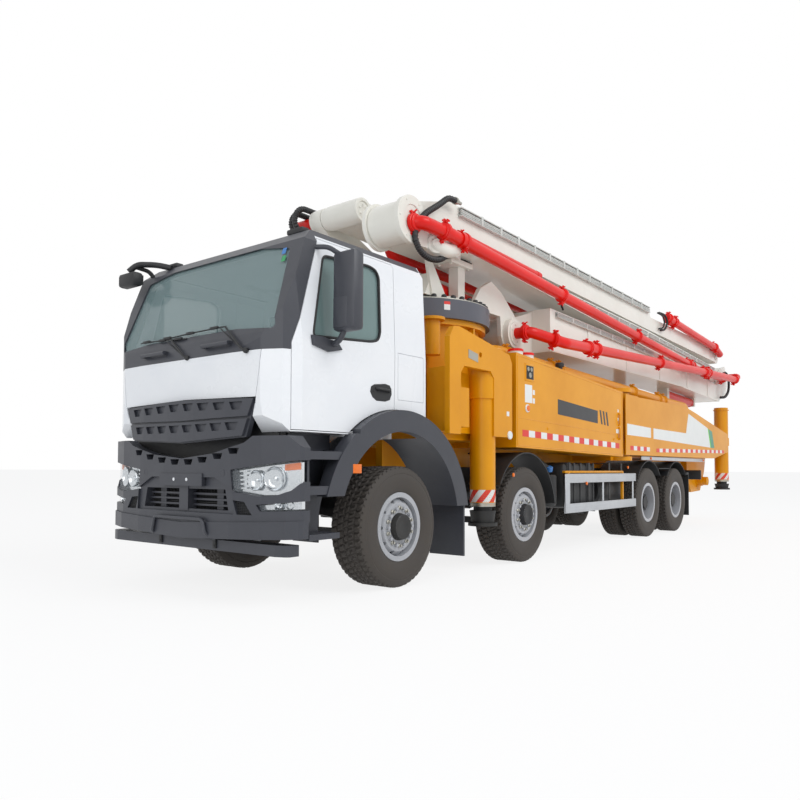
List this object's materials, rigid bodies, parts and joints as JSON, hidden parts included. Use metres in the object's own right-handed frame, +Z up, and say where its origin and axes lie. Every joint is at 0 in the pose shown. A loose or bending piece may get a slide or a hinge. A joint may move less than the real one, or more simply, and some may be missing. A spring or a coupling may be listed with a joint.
{
  "type": "truck-mounted concrete pump",
  "caption": "Truck-mounted concrete pump with a folding boom, slewing turret, swing-out and slide-out legs and a rear hopper.",
  "frame": {"origin": "middle of the footprint on the ground", "axes": "+X forward, +Y to the left, +Z up"},
  "size_m": [14.046, 2.9074, 3.994],
  "materials": {
    "cab_white": "gloss white paint",
    "dark_plastic": "grained dark grey moulding",
    "machine_yellow": "gloss yellow paint",
    "boom_white": "gloss warm white paint",
    "line_red": "gloss red paint",
    "ring_grey": "satin dark grey paint",
    "frame_black": "satin black paint",
    "silver": "satin",
    "rim_silver": "satin silver paint",
    "tyre_rubber": "matte",
    "glazing": "tinted",
    "lamp_clear": "clear lens",
    "trim_black": "matte black",
    "hose_rubber": "ribbed black sleeve",
    "cab_cloth": "woven seat cloth and moulded dash"
  },
  "bodies": {
    "chassis": {"axles": "frame_black", "frame_rails": "frame_black", "cab_shell": "cab_white", "cab_front_frame": "dark_plastic", "windscreen": "glazing", "cab_interior": "cab_cloth", "bumper": "dark_plastic", "headlamps": "lamp_clear", "front_fenders": "dark_plastic", "mudguards": "trim_black", "side_guards": "silver", "base_frame": "machine_yellow", "slewing_ring": "ring_grey", "concrete_pump": "machine_yellow"},
    "knuckle_1_left": {"knuckle_1_left": "frame_black"},
    "wheel_1_left": {"tyre_1_left": "tyre_rubber", "rim_1_left": "rim_silver"},
    "knuckle_1_right": {"knuckle_1_right": "frame_black"},
    "wheel_1_right": {"tyre_1_right": "tyre_rubber", "rim_1_right": "rim_silver"},
    "knuckle_2_left": {"knuckle_2_left": "frame_black"},
    "wheel_2_left": {"tyre_2_left": "tyre_rubber", "rim_2_left": "rim_silver"},
    "knuckle_2_right": {"knuckle_2_right": "frame_black"},
    "wheel_2_right": {"tyre_2_right": "tyre_rubber", "rim_2_right": "rim_silver"},
    "wheel_3_left": {"tyre_3_left": "tyre_rubber", "rim_3_left": "rim_silver"},
    "wheel_3_right": {"tyre_3_right": "tyre_rubber", "rim_3_right": "rim_silver"},
    "wheel_4_left": {"tyre_4_left": "tyre_rubber", "rim_4_left": "rim_silver"},
    "wheel_4_right": {"tyre_4_right": "tyre_rubber", "rim_4_right": "rim_silver"},
    "door_left": {"door_left": "cab_white", "door_left_fittings": "trim_black"},
    "outrigger_front_left": {"outrigger_front_left": "machine_yellow"},
    "jack_front_left": {"jack_front_left": "frame_black"},
    "outrigger_rear_left": {"outrigger_rear_left": "machine_yellow"},
    "jack_rear_left": {"jack_rear_left": "frame_black"},
    "door_right": {"door_right": "cab_white", "door_right_fittings": "trim_black"},
    "outrigger_front_right": {"outrigger_front_right": "machine_yellow"},
    "jack_front_right": {"jack_front_right": "frame_black"},
    "outrigger_rear_right": {"outrigger_rear_right": "machine_yellow"},
    "jack_rear_right": {"jack_rear_right": "frame_black"},
    "turret": {"turret": "boom_white", "lines_turret": "line_red"},
    "arm_1": {"arm_1": "boom_white", "lines_1": "line_red"},
    "arm_2": {"arm_2": "boom_white", "lines_2": "line_red"},
    "arm_3": {"arm_3": "boom_white", "lines_3": "line_red"},
    "arm_4": {"arm_4": "boom_white", "lines_4": "line_red"},
    "arm_5": {"arm_5": "boom_white", "lines_5": "line_red", "hoses_5": "hose_rubber"},
    "arm_6": {"arm_6": "boom_white"}
  },
  "joints": [
    {"name": "steer_1_left", "type": "hinge", "parent": "chassis", "child": "knuckle_1_left", "pos_m": [5.537, 0.86, 0.536], "axis": [0, 0, 1], "range_deg": [-40, 40]},
    {"name": "steer_2_left", "type": "hinge", "parent": "chassis", "child": "knuckle_2_left", "pos_m": [3.237, 0.86, 0.536], "axis": [0, 0, 1], "range_deg": [-30, 30]},
    {"name": "wheel_1_left", "type": "hinge", "parent": "knuckle_1_left", "child": "wheel_1_left", "pos_m": [5.537, 1.0075, 0.536], "axis": [0, 1, 0], "continuous": true},
    {"name": "wheel_2_left", "type": "hinge", "parent": "knuckle_2_left", "child": "wheel_2_left", "pos_m": [3.237, 1.0075, 0.536], "axis": [0, 1, 0], "continuous": true},
    {"name": "wheel_3_left", "type": "hinge", "parent": "chassis", "child": "wheel_3_left", "pos_m": [-0.763, 1.05, 0.536], "axis": [0, 1, 0], "continuous": true},
    {"name": "wheel_4_left", "type": "hinge", "parent": "chassis", "child": "wheel_4_left", "pos_m": [-2.113, 1.05, 0.536], "axis": [0, 1, 0], "continuous": true},
    {"name": "door_left", "type": "hinge", "parent": "chassis", "child": "door_left", "pos_m": [6.822, 1.15, 2], "axis": [0, 0, -1], "range_deg": [0, 70]},
    {"name": "outrigger_front_left", "type": "slide", "parent": "chassis", "child": "outrigger_front_left", "axis": [0, 1, 0], "range_m": [0, 1.1]},
    {"name": "jack_front_left", "type": "slide", "parent": "outrigger_front_left", "child": "jack_front_left", "axis": [0, 0, -1], "range_m": [0, 0.55]},
    {"name": "outrigger_rear_left", "type": "hinge", "parent": "chassis", "child": "outrigger_rear_left", "pos_m": [0.087, 1.04, 1.7], "axis": [0, 0, -1], "range_deg": [0, 75]},
    {"name": "jack_rear_left", "type": "slide", "parent": "outrigger_rear_left", "child": "jack_rear_left", "axis": [0, 0, -1], "range_m": [0, 0.7]},
    {"name": "steer_1_right", "type": "hinge", "parent": "chassis", "child": "knuckle_1_right", "pos_m": [5.537, -0.86, 0.536], "axis": [0, 0, 1], "range_deg": [-40, 40]},
    {"name": "steer_2_right", "type": "hinge", "parent": "chassis", "child": "knuckle_2_right", "pos_m": [3.237, -0.86, 0.536], "axis": [0, 0, 1], "range_deg": [-30, 30]},
    {"name": "wheel_1_right", "type": "hinge", "parent": "knuckle_1_right", "child": "wheel_1_right", "pos_m": [5.537, -1.0075, 0.536], "axis": [0, 1, 0], "continuous": true},
    {"name": "wheel_2_right", "type": "hinge", "parent": "knuckle_2_right", "child": "wheel_2_right", "pos_m": [3.237, -1.0075, 0.536], "axis": [0, 1, 0], "continuous": true},
    {"name": "wheel_3_right", "type": "hinge", "parent": "chassis", "child": "wheel_3_right", "pos_m": [-0.763, -1.05, 0.536], "axis": [0, 1, 0], "continuous": true},
    {"name": "wheel_4_right", "type": "hinge", "parent": "chassis", "child": "wheel_4_right", "pos_m": [-2.113, -1.05, 0.536], "axis": [0, 1, 0], "continuous": true},
    {"name": "door_right", "type": "hinge", "parent": "chassis", "child": "door_right", "pos_m": [6.822, -1.15, 2], "axis": [0, 0, 1], "range_deg": [0, 70]},
    {"name": "outrigger_front_right", "type": "slide", "parent": "chassis", "child": "outrigger_front_right", "axis": [0, -1, 0], "range_m": [0, 1.1]},
    {"name": "jack_front_right", "type": "slide", "parent": "outrigger_front_right", "child": "jack_front_right", "axis": [0, 0, -1], "range_m": [0, 0.55]},
    {"name": "outrigger_rear_right", "type": "hinge", "parent": "chassis", "child": "outrigger_rear_right", "pos_m": [0.087, -1.04, 1.7], "axis": [0, 0, 1], "range_deg": [0, 75]},
    {"name": "jack_rear_right", "type": "slide", "parent": "outrigger_rear_right", "child": "jack_rear_right", "axis": [0, 0, -1], "range_m": [0, 0.7]},
    {"name": "slew", "type": "hinge", "parent": "chassis", "child": "turret", "pos_m": [3.697, 0, 2.9], "axis": [0, 0, 1], "range_deg": [-100, 100]},
    {"name": "arm_1", "type": "hinge", "parent": "turret", "child": "arm_1", "pos_m": [2.587, 0.45, 2.75], "axis": [0, 1, 0], "range_deg": [0, 90]},
    {"name": "arm_2", "type": "hinge", "parent": "arm_1", "child": "arm_2", "pos_m": [-6.763, 0.45, 3.13], "axis": [0, -1, 0], "range_deg": [0, 180]},
    {"name": "arm_3", "type": "hinge", "parent": "arm_2", "child": "arm_3", "pos_m": [4.917, 0.4825, 3.53], "axis": [0, 1, 0], "range_deg": [0, 180]},
    {"name": "arm_4", "type": "hinge", "parent": "arm_3", "child": "arm_4", "pos_m": [-6.363, -0.16, 3.6], "axis": [0, -1, 0], "range_deg": [0, 180]},
    {"name": "arm_5", "type": "hinge", "parent": "arm_4", "child": "arm_5", "pos_m": [4.787, -0.675, 3.83], "axis": [0, 1, 0], "range_deg": [0, 180]},
    {"name": "arm_6", "type": "hinge", "parent": "arm_5", "child": "arm_6", "pos_m": [-4.263, -0.675, 3.33], "axis": [0, -1, 0], "range_deg": [0, 180]}
  ],
  "couplings": [
    {"joint": "steer_1_right", "follows": "steer_1_left", "ratio": 1},
    {"joint": "steer_2_left", "follows": "steer_1_left", "ratio": 0.75},
    {"joint": "steer_2_right", "follows": "steer_1_left", "ratio": 0.75},
    {"joint": "arm_2", "follows": "arm_1", "ratio": 2}
  ]
}
